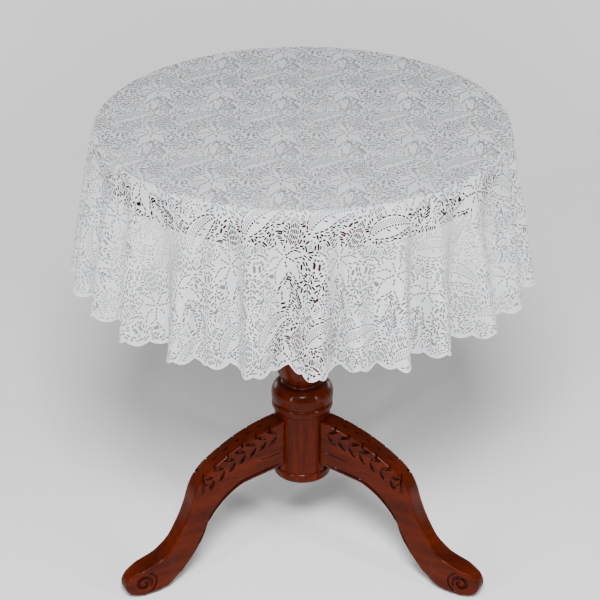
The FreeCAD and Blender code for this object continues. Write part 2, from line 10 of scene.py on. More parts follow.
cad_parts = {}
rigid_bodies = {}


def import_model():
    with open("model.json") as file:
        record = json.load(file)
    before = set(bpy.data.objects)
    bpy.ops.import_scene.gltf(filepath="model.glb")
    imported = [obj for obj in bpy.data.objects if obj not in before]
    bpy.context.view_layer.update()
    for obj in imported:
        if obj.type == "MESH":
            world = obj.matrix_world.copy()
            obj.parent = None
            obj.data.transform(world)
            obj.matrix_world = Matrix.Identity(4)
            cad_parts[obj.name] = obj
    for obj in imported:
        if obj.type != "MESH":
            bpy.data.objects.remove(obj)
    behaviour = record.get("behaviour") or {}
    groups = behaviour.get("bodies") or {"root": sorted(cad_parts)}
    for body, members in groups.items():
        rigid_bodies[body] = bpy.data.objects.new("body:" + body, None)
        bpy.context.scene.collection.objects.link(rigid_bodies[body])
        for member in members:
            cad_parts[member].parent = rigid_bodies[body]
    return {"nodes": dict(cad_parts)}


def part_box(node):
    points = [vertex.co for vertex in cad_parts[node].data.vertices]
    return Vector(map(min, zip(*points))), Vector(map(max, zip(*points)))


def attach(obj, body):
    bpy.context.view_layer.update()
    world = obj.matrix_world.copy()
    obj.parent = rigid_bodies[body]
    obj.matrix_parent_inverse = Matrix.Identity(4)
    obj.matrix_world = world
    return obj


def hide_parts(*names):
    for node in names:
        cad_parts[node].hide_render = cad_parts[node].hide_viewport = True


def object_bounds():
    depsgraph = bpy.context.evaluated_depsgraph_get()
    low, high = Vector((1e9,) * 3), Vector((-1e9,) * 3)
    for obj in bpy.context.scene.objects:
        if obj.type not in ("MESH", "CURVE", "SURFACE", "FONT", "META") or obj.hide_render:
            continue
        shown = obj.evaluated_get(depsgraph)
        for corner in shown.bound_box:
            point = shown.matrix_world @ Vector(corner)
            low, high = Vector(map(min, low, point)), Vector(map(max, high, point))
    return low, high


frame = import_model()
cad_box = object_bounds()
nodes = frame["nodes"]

bpy.ops.object.select_all(action="DESELECT")


# ---------------------------------------------------------------------------------------
# The turned column: base cap, shaft, collar and baluster, four hardwood turnings stacked on
# a steel rod. Stained mahogany red and French polished, with shade painted darker into the grooves.
# ---------------------------------------------------------------------------------------
def new_material(name):
    """An empty material with one Principled shader, and that shader."""
    material = bpy.data.materials.new(name)
    material.use_nodes = True
    tree = material.node_tree
    tree.nodes.clear()
    shader = tree.nodes.new("ShaderNodeBsdfPrincipled")
    output = tree.nodes.new("ShaderNodeOutputMaterial")
    tree.links.new(shader.outputs[0], output.inputs[0])
    return material, tree, shader


def node(tree, kind, links=None, **values):
    """A node with its sockets set by name, and wired from the sockets given in links."""
    made = tree.nodes.new(kind)
    for key, value in values.items():
        setattr(made, key, value)
    for key, source in (links or {}).items():
        if isinstance(source, (int, float, tuple)):
            made.inputs[key].default_value = source
        else:
            tree.links.new(source, made.inputs[key])
    return made


def ramp(tree, source, stops):
    """A colour ramp on a value, with (place, colour) stops."""
    made = node(tree, "ShaderNodeValToRGB", {"Fac": source})
    made.color_ramp.elements.remove(made.color_ramp.elements[1])
    made.color_ramp.elements[0].position, made.color_ramp.elements[0].color = stops[0][0], (*stops[0][1], 1)
    for place, colour in stops[1:]:
        made.color_ramp.elements.new(place).color = (*colour, 1)
    return made


MAHOGANY_DARK = (0.034, 0.0033, 0.0004)
MAHOGANY_MID = (0.058, 0.0058, 0.0004)
MAHOGANY_LIGHT = (0.088, 0.0104, 0.0006)


def polished_wood(name, stretch, coat=0.12, uv=None):
    """Stained wood under clear polish, with shade painted into its hollows. Its grain is long on the axis
    where stretch is small.
    """
    material, tree, shader = new_material(name)
    place = node(tree, "ShaderNodeTexCoord")
    start = place.outputs["Object"]
    if uv:
        start = node(tree, "ShaderNodeUVMap", uv_map=uv).outputs["UV"]
    mapped = node(tree, "ShaderNodeMapping", {"Vector": start, "Scale": stretch})
    figure = node(tree, "ShaderNodeTexNoise", {"Vector": mapped.outputs[0], "Scale": 1.0, "Detail": 4.0,
                                               "Roughness": 0.55, "Distortion": 0.3})
    pores = node(tree, "ShaderNodeTexNoise", {"Vector": mapped.outputs[0], "Scale": 7.0, "Detail": 3.0,
                                              "Roughness": 0.7})
    stain = ramp(tree, figure.outputs["Fac"], [(0.28, MAHOGANY_DARK), (0.50, MAHOGANY_MID),
                                               (0.78, MAHOGANY_LIGHT)])
    pore_mask = ramp(tree, pores.outputs["Fac"], [(0.40, (0.70, 0.66, 0.64)), (0.56, (1, 1, 1))])
    grain = node(tree, "ShaderNodeMixRGB", {"Fac": 0.75, "Color1": stain.outputs[0],
                                            "Color2": pore_mask.outputs[0]}, blend_type="MULTIPLY")
    # Painted shade: the AO node darkens the colour in grooves, gouges and inner corners within 12 mm, where
    # shade falls.
    hollow_shade = node(tree, "ShaderNodeAmbientOcclusion", {"Distance": 0.012}, samples=4, only_local=True)
    painted_groove_shade = ramp(tree, hollow_shade.outputs["AO"], [(0.55, (0.08, 0.05, 0.04)), (0.95, (1, 1, 1))])
    colour = node(tree, "ShaderNodeMixRGB", {"Fac": 1.0, "Color1": grain.outputs[0],
                                             "Color2": painted_groove_shade.outputs[0]}, blend_type="MULTIPLY")
    tree.links.new(colour.outputs[0], shader.inputs["Base Color"])
    rough = node(tree, "ShaderNodeMapRange", {"Value": pores.outputs["Fac"], "To Min": 0.30, "To Max": 0.44})
    tree.links.new(rough.outputs[0], shader.inputs["Roughness"])
    orange_peel = node(tree, "ShaderNodeTexNoise", {"Vector": place.outputs["Object"], "Scale": 70.0,
                                                    "Detail": 2.0})
    relief = node(tree, "ShaderNodeBump", {"Height": orange_peel.outputs["Fac"], "Strength": 0.10,
                                           "Distance": 0.0006})
    tree.links.new(relief.outputs[0], shader.inputs["Normal"])
    shader.inputs["Specular IOR Level"].default_value = 0.04
    shader.inputs["Coat Weight"].default_value = coat
    shader.inputs["Coat Roughness"].default_value = 0.07
    shader.inputs["Coat IOR"].default_value = 1.5
    return material


def dress(names, material):
    """Gives carried-over CAD pieces their finish."""
    for name in names:
        for slot in nodes[name].material_slots:
            slot.material = material


column_wood = polished_wood("polished_mahogany_column", (95.0, 95.0, 9.0))
dress(["base_cap", "column_shaft", "column_collar", "column_baluster"], column_wood)


# ---------------------------------------------------------------------------------------
# The three legs: sawn from plank, shaped to a knee and a scrolled foot, then carved alike on
# both cheeks. Laurel leaves run from the hub to the knee over an incised line, and a spiral
# turns in the foot. One leg is carved, and the other two are copies turned round the shaft.
# ---------------------------------------------------------------------------------------
leg_wood = polished_wood("polished_mahogany_leg", (9.0, 60.0, 60.0), uv="grain")
LEG_TURNS = {"leg_right": -30.0, "leg_left": -150.0, "leg_rear": 90.0}

carved = nodes["leg_right"].copy()
carved.data = nodes["leg_right"].data.copy()
carved.name = "carved_leg_right"
bpy.context.collection.objects.link(carved)
carved.data.materials.clear()
carved.data.materials.append(leg_wood)
bpy.ops.object.select_all(action="DESELECT")
carved.select_set(True)
bpy.context.view_layer.objects.active = carved
bpy.ops.mesh.customdata_custom_splitnormals_clear()
bpy.ops.object.mode_set(mode="EDIT")
bpy.ops.mesh.select_all(action="SELECT")
bpy.ops.mesh.remove_doubles(threshold=0.00001)
bpy.ops.object.mode_set(mode="OBJECT")
# For carving, the leg lies along X from the axis. It is turned back into place at the end.
carved.data.transform(Matrix.Rotation(math.radians(-LEG_TURNS["leg_right"]), 4, "Z"))
# Rasped and sanded: the sawn arrises are eased to a soft round all along the leg.
carved.data.remesh_voxel_size = 0.0016
carved.data.remesh_voxel_adaptivity = 0.0
bpy.ops.object.voxel_remesh()
sanding = carved.modifiers.new("sanding", "SMOOTH")
sanding.factor = 0.6
sanding.iterations = 40
bpy.ops.object.modifier_apply(modifier="sanding")


def gouge(points, radius, even=False):
    """A gouge's path as a tapering tube. Its inner half comes off the wood."""
    path = bpy.data.curves.new("gouge", "CURVE")
    path.dimensions = "3D"
    path.bevel_depth = 0.001
    path.bevel_resolution = 2
    path.use_fill_caps = True
    spline = path.splines.new("POLY")
    spline.points.add(len(points) - 1)
    for k, (spot, point) in enumerate(zip(points, spline.points)):
        point.co = (*spot, 1)
        share = k / (len(points) - 1)
        taper = min(1.0, 0.3 + 6.0 * min(share, 1 - share)) if even else math.sin(math.pi * share) ** 0.6
        point.radius = radius * max(taper, 0.18)
    tool = bpy.data.objects.new("gouge", path)
    bpy.context.collection.objects.link(tool)
    return tool


def on_cheek(reach, height, hand):
    """The place on a cheek of the leg, from the axis and the floor, in millimetres."""
    cast = carved.ray_cast((reach / 1000, hand * 0.06, height / 1000), (0, -hand, 0))
    return Vector(cast[1]) if cast[0] else None


def on_top(reach, aside):
    """The place on the leg's upper face, from the axis and from the middle of its width."""
    cast = carved.ray_cast((reach / 1000, aside / 1000, 0.35), (0, 0, -1))
    return Vector(cast[1])


def cheek_line(places, hand):
    """A drawn line laid on a cheek, point by point."""
    line = [on_cheek(reach, height, hand) for reach, height in places]
    return [spot for spot in line if spot is not None]


def upper_edge(reach):
    """The height of the leg's upper face, in millimetres."""
    return on_top(reach, 0.0).z * 1000


def lower_edge(reach):
    """The height of the leg's lower face, in millimetres."""
    cast = carved.ray_cast((reach / 1000, 0.0, 0.0), (0, 0, 1))
    return cast[1][2] * 1000


LINE_HEIGHT = 7.5           # the incised line's height above the lower edge
FOOT_EYE = (291.0, 27.0)    # the middle of the foot's spiral
FIRST_LEAF = 56             # the first pair's distance from the axis
LEAF_STEP = 18.5            # from one pair to the next
LEAF_LONG = 19.0
LEAF_SPREAD = 0.62          # the leaf's angle to the stem, in radians
STEM_DROP = 17.0            # the stem's depth below the upper edge
tools = []
for hand in (1, -1):
    # Laurel leaves in pairs along a stem below the upper edge.
    for k in range(7):
        reach = FIRST_LEAF + LEAF_STEP * k
        fall = (upper_edge(reach + 6) - upper_edge(reach - 6)) / 12
        stem = upper_edge(reach) - STEM_DROP
        for side, lift in ((1, 1.2), (-1, 1.8)):
            angle = math.atan(fall) + side * LEAF_SPREAD
            start = (reach, stem + side * lift)
            leaf_line = []
            for t in np.linspace(0, 1, 9):
                bow = side * 1.3 * math.sin(math.pi * t)
                leaf_line.append((start[0] + LEAF_LONG * t * math.cos(angle) - bow * math.sin(angle),
                                  start[1] + LEAF_LONG * t * math.sin(angle) + bow * math.cos(angle)))
            tools.append(gouge(cheek_line(leaf_line, hand), 3.1))
        if k % 2 == 0:
            nick = [(reach + 2 + 7 * t, stem - 9.5 - 5 * t) for t in np.linspace(0, 1, 5)]
            tools.append(gouge(cheek_line(nick, hand), 1.8))
    # Notches across the arris between the cheek and the upper face.
    for k in range(5):
        reach = 66 + 24 * k
        notch = [on_top(reach + 3 * t, hand * (10.5 + 9.5 * t)) for t in (0.0, 0.35, 0.7)]
        notch.append(on_cheek(reach + 5, upper_edge(reach + 5) - 4.5, hand))
        tools.append(gouge(notch, 2.2))
    # The leaf's tip at the knee, crossed by a stop cut.
    tip = [(176 + 18 * t, 171 + 9 * t - 5 * t * t) for t in np.linspace(0, 1, 7)]
    tools.append(gouge(cheek_line(tip, hand), 2.0))
    tip_cut = [(182 + 9 * t, 160 + 17 * t) for t in np.linspace(0, 1, 7)]
    tools.append(gouge(cheek_line(tip_cut, hand), 1.8))
    stop_cut = [on_top(179, hand * 5), on_top(181, hand * 12), on_cheek(184, upper_edge(184) - 8, hand),
                on_cheek(187, upper_edge(187) - 19, hand)]
    tools.append(gouge(stop_cut, 2.6, even=True))
    # The line that follows the lower edge, and the short line in the middle of the cheek.
    lower_line = [(reach, lower_edge(reach) + LINE_HEIGHT) for reach in np.arange(50, 176, 4)]
    lower_line += [(177 + 0.60 * (99 - height), height) for height in np.arange(97, 52, -4)]
    tools.append(gouge(cheek_line(lower_line, hand), 2.3, even=True))
    short_line = [(50 + 40 * t, 190 - 4 * t) for t in np.linspace(0, 1, 9)]
    tools.append(gouge(cheek_line(short_line, hand), 0.8, even=True))
    # The spiral in the foot, and the curl behind it.
    spiral = []
    for t in np.linspace(0, 1, 34):
        turn, size = math.radians(215 - 480 * t), 13.5 - 10.6 * t
        spiral.append((FOOT_EYE[0] + size * math.cos(turn), FOOT_EYE[1] + size * math.sin(turn)))
    tools.append(gouge(cheek_line(spiral, hand), 2.9, even=True))
    curl = []
    for turn in np.radians(np.arange(110, 251, 10)):
        curl.append((FOOT_EYE[0] + 21 * math.cos(turn), FOOT_EYE[1] + 19 * math.sin(turn)))
    tools.append(gouge(cheek_line(curl, hand), 1.8, even=True))
for k in range(5):
    # Short flutes down the middle of the upper face.
    reach = 72 + 20 * k
    tools.append(gouge([on_top(reach + 9 * t, 0.0) for t in np.linspace(0, 1, 5)], 1.8))

bpy.ops.object.select_all(action="DESELECT")
for tool in tools:
    tool.select_set(True)
bpy.context.view_layer.objects.active = tools[0]
bpy.ops.object.convert(target="MESH")
bpy.ops.object.join()
gouges = bpy.context.object
bpy.ops.object.mode_set(mode="EDIT")
bpy.ops.mesh.select_all(action="SELECT")
bpy.ops.mesh.remove_doubles(threshold=0.00001)
bpy.ops.mesh.normals_make_consistent(inside=False)
bpy.ops.object.mode_set(mode="OBJECT")

bpy.ops.object.select_all(action="DESELECT")
carved.select_set(True)
bpy.context.view_layer.objects.active = carved
carving = carved.modifiers.new("carving", "BOOLEAN")
carving.operation = "DIFFERENCE"
carving.solver = "EXACT"
carving.use_self = True
carving.object = gouges
bpy.ops.object.modifier_apply(modifier="carving")
bpy.data.objects.remove(gouges)
bpy.ops.object.shade_smooth_by_angle(angle=math.radians(38))
grain = carved.data.uv_layers.new(name="grain")
for loop in carved.data.loops:
    spot = carved.data.vertices[loop.vertex_index].co
    grain.data[loop.index].uv = (spot.x, spot.z + 0.4 * spot.y)

for name, turn in LEG_TURNS.items():
    leg = carved
    if name != "leg_right":
        leg = carved.copy()
        leg.data = carved.data.copy()
        leg.name = "carved_" + name
        bpy.context.collection.objects.link(leg)
    leg["turn"] = turn
    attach(leg, "table")
    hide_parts(name)
for leg in [o for o in bpy.context.scene.objects if "turn" in o]:
    leg.data.transform(Matrix.Rotation(math.radians(leg["turn"]), 4, "Z"))
    del leg["turn"]


# ---------------------------------------------------------------------------------------
# Glides: black nylon discs nailed under the three feet, so that the wood stays off the floor.
# They are moulded, with a fine grain.
# ---------------------------------------------------------------------------------------
def plain_finish(name, colour, metal, rough, mottle, scale, relief, stretch=(1.0, 1.0, 1.0)):
    """A one-colour finish with slight mottling, and a fine relief at the given scale."""
    material, tree, shader = new_material(name)
    place = node(tree, "ShaderNodeTexCoord")
    mapped = node(tree, "ShaderNodeMapping", {"Vector": place.outputs["Object"], "Scale": stretch})
    noise = node(tree, "ShaderNodeTexNoise", {"Vector": mapped.outputs[0], "Scale": scale, "Detail": 4.0})
    darker = tuple(c * (1 - mottle) for c in colour)
    lighter = tuple(min(c * (1 + mottle), 1.0) for c in colour)
    shade = ramp(tree, noise.outputs["Fac"], [(0.3, darker), (0.7, lighter)])
    tree.links.new(shade.outputs[0], shader.inputs["Base Color"])
    spread = node(tree, "ShaderNodeMapRange", {"Value": noise.outputs["Fac"], "To Min": rough - 0.06,
                                               "To Max": rough + 0.06})
    tree.links.new(spread.outputs[0], shader.inputs["Roughness"])
    bump = node(tree, "ShaderNodeBump", {"Height": noise.outputs["Fac"], "Strength": 0.35,
                                         "Distance": relief})
    tree.links.new(bump.outputs[0], shader.inputs["Normal"])
    shader.inputs["Metallic"].default_value = metal
    return material


glide_nylon = plain_finish("moulded_nylon", (0.018, 0.017, 0.016), 0.0, 0.55, 0.25, 900.0, 0.0002)
dress(["foot_glide_left", "foot_glide_right", "foot_glide_rear"], glide_nylon)


# ---------------------------------------------------------------------------------------
# The tie rod with its nuts, washers and all the wood screws: zinc-plated steel, drawn bright
# along the rod. The round plate over the column is black enamelled steel.
# ---------------------------------------------------------------------------------------
zinc = plain_finish("bright_zinc", (0.56, 0.57, 0.58), 1.0, 0.30, 0.12, 160.0, 0.0001, (1.0, 1.0, 0.15))
dress(["tie_rod", "tie_nut_top", "tie_nut_bottom", "tie_washer_top", "tie_washer_bottom"], zinc)
dress(["rail_screws", "plate_screws"], zinc)
enamel = plain_finish("black_enamel", (0.014, 0.014, 0.015), 0.0, 0.36, 0.20, 420.0, 0.0002)
dress(["top_plate"], enamel)


# ---------------------------------------------------------------------------------------
# The apron ring and its two crossed bearers: the same stained hardwood as the column, wiped
# thinner because the cloth hides it, with the grain running along each bearer.
# ---------------------------------------------------------------------------------------
ring_wood = polished_wood("stained_apron", (32.0, 32.0, 60.0))
dress(["apron_ring"], ring_wood)
dress(["rail_long"], polished_wood("stained_bearer_long", (9.0, 90.0, 90.0), coat=0.10))
dress(["rail_short"], polished_wood("stained_bearer_short", (90.0, 9.0, 90.0), coat=0.10))


# ---------------------------------------------------------------------------------------
# The round slab: pale grey stone, honed, with soft clouds and hairline veins. It sits on small
# clear rubber bumpers that keep it from sliding on the ring.
# ---------------------------------------------------------------------------------------
slab_stone, tree, shader = new_material("honed_stone")
place = node(tree, "ShaderNodeTexCoord")
clouds = node(tree, "ShaderNodeTexNoise", {"Vector": place.outputs["Object"], "Scale": 5.0, "Detail": 8.0,
                                           "Roughness": 0.6, "Distortion": 1.2})
veins = node(tree, "ShaderNodeTexNoise", {"Vector": place.outputs["Object"], "Scale": 3.2, "Detail": 6.0,
                                          "Distortion": 2.4})
tone = ramp(tree, clouds.outputs["Fac"], [(0.3, (0.20, 0.205, 0.215)), (0.7, (0.30, 0.305, 0.315))])
hair = ramp(tree, veins.outputs["Fac"], [(0.485, (1, 1, 1)), (0.500, (0.62, 0.62, 0.64)),
                                         (0.515, (1, 1, 1))])
mixed = node(tree, "ShaderNodeMixRGB", {"Fac": 0.8, "Color1": tone.outputs[0], "Color2": hair.outputs[0]},
             blend_type="MULTIPLY")
tree.links.new(mixed.outputs[0], shader.inputs["Base Color"])
grit = node(tree, "ShaderNodeTexNoise", {"Vector": place.outputs["Object"], "Scale": 900.0})
honed = node(tree, "ShaderNodeBump", {"Height": grit.outputs["Fac"], "Strength": 0.2, "Distance": 0.0001})
tree.links.new(honed.outputs[0], shader.inputs["Normal"])
shader.inputs["Roughness"].default_value = 0.42
dress(["stone_top"], slab_stone)
bumper_rubber = plain_finish("clear_bumper", (0.62, 0.63, 0.62), 0.0, 0.30, 0.05, 300.0, 0.0001)
dress(["slab_pads"], bumper_rubber)


# ---------------------------------------------------------------------------------------
# The lace ground: white warp-knitted lace whose repeat is 93 mm by 161 mm. Each opening between
# the threads is really open, and each motif is drawn here in millimetres, as on a point paper.
# ---------------------------------------------------------------------------------------
REPEAT_WIDE, REPEAT_TALL = 92.8, 161.0
openings, close_knit = [], []


def bent(start, bend, end, count=24):
    """A spine from start to end, pulled towards bend."""
    t = np.linspace(0, 1, count)[:, None]
    a, b, c = (np.array(p, float) for p in (start, bend, end))
    return (1 - t) ** 2 * a + 2 * t * (1 - t) * b + t ** 2 * c


def length_of(line):
    """How long a line is."""
    return float(np.hypot(*np.diff(line, axis=0).T).sum())


def along(line, distance, aside=0.0):
    """The place a distance along a line and a little aside from it, and the line's way there."""
    steps = np.hypot(*np.diff(line, axis=0).T)
    run = np.concatenate([[0], np.cumsum(steps)])
    distance = min(max(distance, 0), run[-1])
    i = min(int(np.searchsorted(run, distance, side="right")) - 1, len(steps) - 1)
    way = (line[i + 1] - line[i]) / steps[i]
    return line[i] + way * (distance - run[i]) + np.array([-way[1], way[0]]) * aside, way


def turned_way(way, angle):
    """A direction turned by an angle in radians."""
    cos, sin = math.cos(angle), math.sin(angle)
    return np.array([way[0] * cos - way[1] * sin, way[0] * sin + way[1] * cos])


EASE = 1.90    # how much wider the openings stand in the hung cloth than in the drawing


def opening(middle, way, long, wide):
    """One opening: a lozenge when it is short, and a blunt slit when it is long."""
    side = np.array([-way[1], way[0]]) * wide * EASE / 2
    way = np.array(way) * long / 2
    shape = [(1, 0), (0, 1), (-1, 0), (0, -1)]
    if long > 2.7 * wide or long > 4:
        shape = [(1, 0), (0.74, 0.9), (-0.72, 1), (-1, 0), (-0.72, -0.9), (0.74, -1)]
    openings.append(np.array([middle + way * a + side * b for a, b in shape]))


def slit_row(line, long, gap, wide, aside=0.0, start=1.0, stop=1.0):
    """Slits end to end along a line, where two motifs are knitted side by side."""
    run = length_of(line) - start - stop
    count = max(1, int((run + gap) / (long + gap)))
    first = start + (run - count * (long + gap) + gap) / 2 + long / 2
    for k in range(count):
        spot, way = along(line, first + k * (long + gap), aside)
        opening(spot, way, long, wide)


def leaf(spine, wide, fat=0.8, slit=6.2, slit_wide=1.15, start=3.0):
    """A closely knitted leaf, with a row of slits round it."""
    share = np.linspace(0, 1, len(spine))
    half = wide / 2 * np.sin(np.pi * share ** fat) ** 0.75
    way = np.gradient(spine, axis=0)
    way /= np.hypot(*way.T)[:, None]
    side = np.stack([-way[:, 1], way[:, 0]], 1) * half[:, None]
    close_knit.append(np.concatenate([spine + side, (spine - side)[::-1]]))
    for edge, hand in ((spine + side, 1), (spine - side, -1)):
        slit_row(edge, slit, 1.0, slit_wide, aside=hand * 1.1, start=start, stop=2.5)


def fine_net(spine, wide, hand, pitch=3.0, size=1.45, fat=0.8):
    """Fine net on one side of a leaf's spine, in rows that follow it."""
    run = length_of(spine)
    row = 1
    while row * pitch < wide / 2:
        distance = 2.0 + (row % 2) * pitch / 2
        while distance < run - 2:
            half = wide / 2 * math.sin(math.pi * (distance / run) ** fat) ** 0.75
            if row * pitch < half - 0.9:
                spot, way = along(spine, distance, hand * (row * pitch + 0.6))
                opening(spot, way, size * 1.3, size)
            distance += pitch
        row += 1


def half_net_leaf(start, bend, end, wide, hand=1):
    """The large leaf: an open midrib, fine net on one side, close knit with veins on the other."""
    spine = bent(start, bend, end)
    slit_row(spine, 3.4, 0.9, 1.9, start=3, stop=2)
    leaf(spine, wide)
    fine_net(spine, wide, hand)
    run = length_of(spine)
    for share in (0.40, 0.58):
        spot, way = along(spine, run * share, -hand * wide * 0.17)
        opening(spot, turned_way(way, -hand * 0.75), wide * 0.22, 1.0)


def fern(start, bend, end, barb=8.0, pitch=4.3, slant=0.72):
    """A fern frond: an open stem with slanting slits on both sides."""
    spine = bent(start, bend, end)
    run = length_of(spine)
    slit_row(spine, 4.0, 0.9, 1.1, start=2)
    distance = 4.0
    while distance < run - 2:
        reach = barb * (0.55 + 0.45 * math.sin(math.pi * distance / run))
        for hand in (1, -1):
            spot, way = along(spine, distance, hand * (1.7 + reach * 0.5 * math.sin(slant)))
            opening(spot, turned_way(way, hand * slant), reach, 1.45)
        distance += pitch


def feather(start, bend, end, wide, rows=2):
    """A close-knit leaf with long narrow slits that follow its spine."""
    spine = bent(start, bend, end)
    for row in range(-rows, rows + 1):
        slit_row(spine, 7.6 - abs(row), 1.5, 0.95, aside=row * wide / (2 * rows + 2.2),
                 start=5 + 2 * abs(row), stop=4 + 2.5 * abs(row))
    leaf(spine, wide)


def flower(x, y, reach, petals, turn, netted=True):
    """A flower: a small close eye, open rays, and outlined petals filled with fine net."""
    middle = np.array([x, y])
    eye = np.arange(8) * math.tau / 8
    close_knit.append(middle + 1.9 * np.stack([np.cos(eye), np.sin(eye)], 1))
    for k in range(petals):
        ray = turned_way((1.0, 0.0), turn + (k + 0.5) * math.tau / petals)
        slit_row(np.array([middle + ray * 2.6, middle + ray * reach * 0.86]), 3.6, 0.9, 1.5, start=0, stop=0)
    for k in range(petals):
        way = turned_way((1.0, 0.0), turn + k * math.tau / petals)
        start, end = middle + way * 3.6, middle + way * reach
        spine = bent(start, (start + end) / 2 + turned_way(way, 1.57), end, 16)
        if netted:
            fine_net(spine, reach * 0.62, 1, 2.9, 1.4, 0.9)
            fine_net(spine, reach * 0.62, -1, 2.9, 1.4, 0.9)
        else:
            slit_row(spine, 3.2, 0.9, 1.2, start=2.5)
        leaf(spine, reach * 0.66, 0.9, 4.6, 1.2, 2.4)


def bud(x, y, wide, tall, turn):
    """A tulip bud in two outlines, one inside the other, around fine net."""
    outline = [(0, -0.5), (0.5, -0.05), (0.3, 0.42), (0, 0.5), (-0.3, 0.42), (-0.5, -0.05)]
    for share, slit_wide in ((1.0, 1.5), (0.64, 1.2)):
        ring = [np.array([x, y]) + turned_way((a * wide * share, b * tall * share), turn)
                for a, b in outline]
        for a, b in zip(ring, ring[1:] + ring[:1]):
            reach = float(np.hypot(*(b - a)))
            opening((a + b) / 2, (b - a) / reach, max(reach - 1.5, 1.6), slit_wide)
        if share == 1.0:
            close_knit.append(np.array(ring))
    for row in range(-3, 4):
        for column in range(-3, 4):
            a, b = column * 2.1 + (row % 2), row * 1.9
            if abs(a) / (wide * 0.27) + abs(b) / (tall * 0.27) < 1:
                opening(np.array([x, y]) + turned_way((a, b), turn), turned_way((1, 0), turn), 1.5, 1.2)


def comb(x, y, turn, count, long, wide, pitch, lean=0.0):
    """A comb: parallel slits, like rungs, that fill the gap between two motifs."""
    for k in range(count):
        step = k - (count - 1) / 2
        spot = np.array([x, y]) + turned_way((1, 0), turn - math.pi / 2) * step * pitch
        opening(spot, turned_way((1, 0), turn + lean * step), long * (1 - 0.08 * abs(step)), wide)


def star(x, y, leaves):
    """A star of close-knit leaves around one point, with open rays between them."""
    middle = np.array([x, y])
    rays = [math.radians(angle) for angle, reach, wide in leaves]
    for a, b in zip(rays, rays[1:] + [rays[0] + math.tau]):
        ray = turned_way((1.0, 0.0), (a + b) / 2)
        slit_row(np.array([middle + ray * 2.0, middle + ray * 17.0]), 4.2, 0.9, 1.35, start=0, stop=0)
    for angle, reach, wide in leaves:
        way = turned_way((1.0, 0.0), math.radians(angle))
        end = middle + way * reach
        leaf(bent(middle, (middle + end) / 2 + turned_way(way, 1.57) * reach * 0.06, end), wide, 0.85,
             start=reach * 0.52)


star(0, 0, [(10, 30, 10), (56, 23, 9), (104, 27, 10), (150, 30, 11), (205, 31, 13), (252, 45, 16),
            (302, 40, 15)])
feather((7, 13), (24, 34), (20, 65), 15)
half_net_leaf((-52, 38), (-34, 67), (5, 72), 28)
bud(-31, 17, 20, 24, 0.35)
bud(41, 17, 16, 20, -0.5)
fern((20, 68), (26, 90), (8, 113), 9)
flower(-27, 98, 18, 5, 0.3)
flower(31, -66, 14, 6, 0.1, netted=False)
fern((45, -18), (33, -36), (38, -58), 8)
half_net_leaf((-45, -75), (-29, -49), (-13, -54), 16, hand=-1)
fern((-23, -19), (-41, -34), (-38, -60), 8)
comb(-40, -9, 1.45, 4, 11, 2.1, 3.8, 0.06)
comb(23, -13, 1.60, 5, 10, 1.9, 3.5, -0.04)
comb(46, 47, 0.50, 5, 9, 1.8, 3.4, 0.1)
comb(-5, 85, 0.20, 4, 8, 1.8, 3.3, 0.1)
comb(8, 50, 1.10, 3, 9, 1.8, 3.4, 0.1)
feather((52, 61), (44, 78), (30, 85), 11, rows=1)
leaf(bent((40, 97), (55, 101), (63, 84)), 10)
leaf(bent((-50, 86), (-60, 72), (-53, 60)), 9)
leaf(bent((-4, -49), (3, -62), (-6, -77)), 10)
motif_openings = len(openings)

# The net between the motifs. Its meshes vary in length and lean this way and that in patches.
hand_work = np.random.default_rng(7)
NET_ROWS, NET_COLUMNS = 46, 20
MOTIF_THREAD, NET_THREAD = 0.50, 0.46    # the least thread left between two openings
for row in range(NET_ROWS):
    for column in range(NET_COLUMNS):
        x = (column + 0.5 * (row % 2)) * REPEAT_WIDE / NET_COLUMNS - REPEAT_WIDE / 2
        y = row * REPEAT_TALL / NET_ROWS - REPEAT_TALL / 2
        wave_x, wave_y = x * math.tau / REPEAT_WIDE, y * math.tau / REPEAT_TALL
        lean = 1.1 * math.sin(wave_x * 2 + 0.5) * math.cos(wave_y * 2 + 0.8) + hand_work.uniform(-0.35, 0.35)
        spot = np.array([x, y]) + hand_work.uniform(-0.5, 0.5, 2)
        opening(spot, turned_way((1, 0), lean), hand_work.uniform(3.6, 7.6), hand_work.uniform(1.0, 1.75))


def covers(outline, points):
    """Which points lie inside an outline."""
    x, y = points[:, 0][:, None], points[:, 1][:, None]
    a, b = outline, np.roll(outline, -1, 0)
    level = np.where(b[:, 1] == a[:, 1], 1e-9, b[:, 1] - a[:, 1])
    crossed = ((a[:, 1] > y) != (b[:, 1] > y)) & (x < (b[:, 0] - a[:, 0]) * (y - a[:, 1]) / level + a[:, 0])
    return crossed.sum(1) % 2 == 1


def rim_points(outline):
    """Points round an opening, close enough to measure the thread left beside it."""
    rim = [outline.mean(0)[None]]
    for a, b in zip(outline, np.roll(outline, -1, 0)):
        count = max(1, int(np.hypot(*(b - a)) / 0.8))
        rim.append(a + (b - a) * (np.arange(count) / count)[:, None])
    return np.concatenate(rim)


